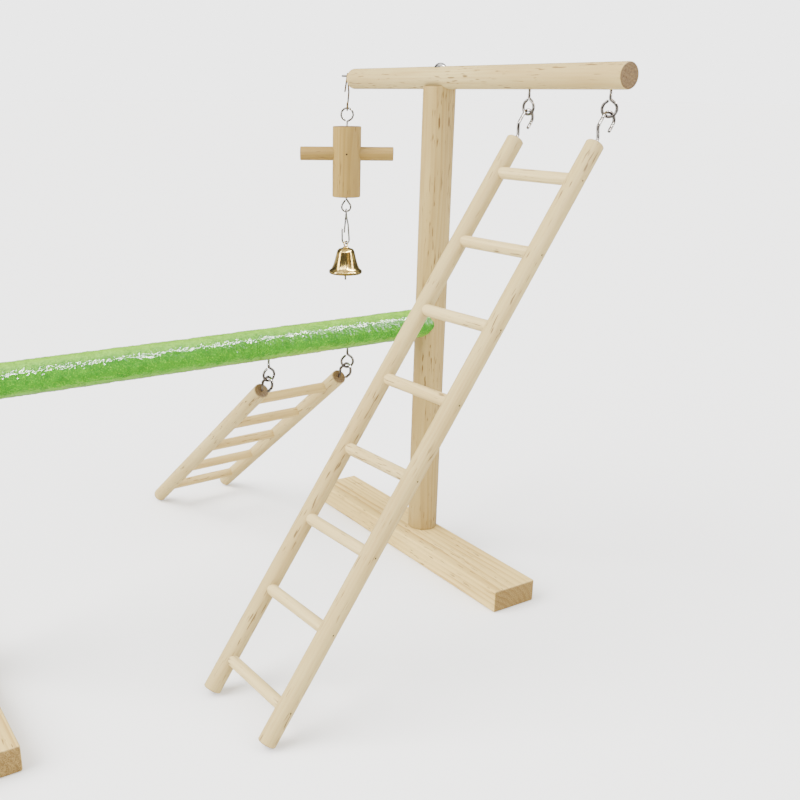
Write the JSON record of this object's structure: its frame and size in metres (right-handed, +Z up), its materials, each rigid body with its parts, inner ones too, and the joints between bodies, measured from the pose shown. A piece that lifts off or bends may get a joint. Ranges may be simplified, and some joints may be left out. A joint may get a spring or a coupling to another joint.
{
  "type": "bird play stand",
  "caption": "Table-top wooden play stand for a cage bird: raised perch, green sanded perch, ladders hung on hooks and a swinging block toy with a bell.",
  "frame": {"origin": "centre of the underside of the tall stand's base bar", "axes": "+Z up, +X along the base bar towards the long ladder, -Y along the green perch towards the short stand"},
  "size_m": [0.4095, 0.462, 0.3993],
  "materials": {
    "base_wood": "bare sanded pine",
    "post_wood": "bare sanded pine",
    "perch_wood": "bare sanded pine",
    "rail_wood": "bare sanded birch",
    "rung_wood": "bare sanded birch",
    "toy_wood": "bare sanded pine, darker",
    "green_sand": "rough sand grains in green binder",
    "nickel_wire": "bright nickel plate",
    "screw_steel": "zinc plate",
    "brad_steel": "dull bare steel",
    "brass": "polished"
  },
  "bodies": {
    "stand": {"base_screws": "screw_steel", "green_perch_coating": "green_sand", "green_perch_core": "perch_wood", "green_perch_screws": "screw_steel", "long_ladder_eye_left": "nickel_wire", "long_ladder_eye_right": "nickel_wire", "short_base_bar": "base_wood", "short_ladder_eye_left": "nickel_wire", "short_ladder_eye_right": "nickel_wire", "short_post": "post_wood", "tall_base_bar": "base_wood", "tall_post": "post_wood", "top_perch": "perch_wood", "top_perch_screw": "screw_steel", "toy_perch_eye": "nickel_wire"},
    "long_ladder": {"long_ladder_brads": "brad_steel", "long_ladder_hook_left": "nickel_wire", "long_ladder_hook_right": "nickel_wire", "long_ladder_rail_left": "rail_wood", "long_ladder_rail_right": "rail_wood", "long_ladder_rung_1": "rung_wood", "long_ladder_rung_2": "rung_wood", "long_ladder_rung_3": "rung_wood", "long_ladder_rung_4": "rung_wood", "long_ladder_rung_5": "rung_wood", "long_ladder_rung_6": "rung_wood", "long_ladder_rung_7": "rung_wood", "long_ladder_rung_8": "rung_wood"},
    "short_ladder": {"short_ladder_brads": "brad_steel", "short_ladder_hook_left": "nickel_wire", "short_ladder_hook_right": "nickel_wire", "short_ladder_rail_left": "rail_wood", "short_ladder_rail_right": "rail_wood", "short_ladder_rung_1": "rung_wood", "short_ladder_rung_2": "rung_wood", "short_ladder_rung_3": "rung_wood", "short_ladder_rung_4": "rung_wood", "short_ladder_rung_5": "rung_wood"},
    "upper_clip": {"upper_clip": "nickel_wire"},
    "toy_block": {"toy_block": "toy_wood", "toy_crossbar": "toy_wood", "toy_eye_bottom": "nickel_wire", "toy_eye_top": "nickel_wire", "toy_pin": "brad_steel"},
    "lower_clip": {"lower_clip": "nickel_wire"},
    "bell": {"bell_shell": "brass", "bell_loop": "brass", "clapper_staple": "nickel_wire"},
    "clapper": {"clapper": "nickel_wire"}
  },
  "joints": [
    {"name": "long_ladder_swing", "type": "hinge", "parent": "stand", "child": "long_ladder", "pos_m": [0.137, 0.007, 0.3643], "axis": [-0.9986, -0.0523, 0], "range_deg": [0, 45]},
    {"name": "short_ladder_swing", "type": "hinge", "parent": "stand", "child": "short_ladder", "pos_m": [0, -0.1085, 0.1725], "axis": [-0.0436, 0.999, 0], "range_deg": [0, 35]},
    {"name": "upper_clip_swing", "type": "hinge", "parent": "stand", "child": "upper_clip", "pos_m": [-0.12651, 0.00461, 0.3909], "axis": [0.5432, 0.8396, 0], "range_deg": [-15, 35]},
    {"name": "toy_block_swing", "type": "hinge", "parent": "upper_clip", "child": "toy_block", "pos_m": [-0.12651, 0.00461, 0.3629], "axis": [0.8396, -0.5432, 0], "range_deg": [-35, 35]},
    {"name": "lower_clip_swing", "type": "hinge", "parent": "toy_block", "child": "lower_clip", "pos_m": [-0.12651, 0.00461, 0.2768], "axis": [0.5432, 0.8396, 0], "range_deg": [-35, 35]},
    {"name": "bell_swing", "type": "hinge", "parent": "lower_clip", "child": "bell", "pos_m": [-0.12651, 0.00461, 0.2483], "axis": [0.5432, 0.8396, 0], "range_deg": [-30, 30]},
    {"name": "clapper_swing", "type": "hinge", "parent": "bell", "child": "clapper", "pos_m": [-0.12651, 0.00461, 0.23895], "axis": [0.5432, 0.8396, 0], "range_deg": [-25, 25]}
  ]
}
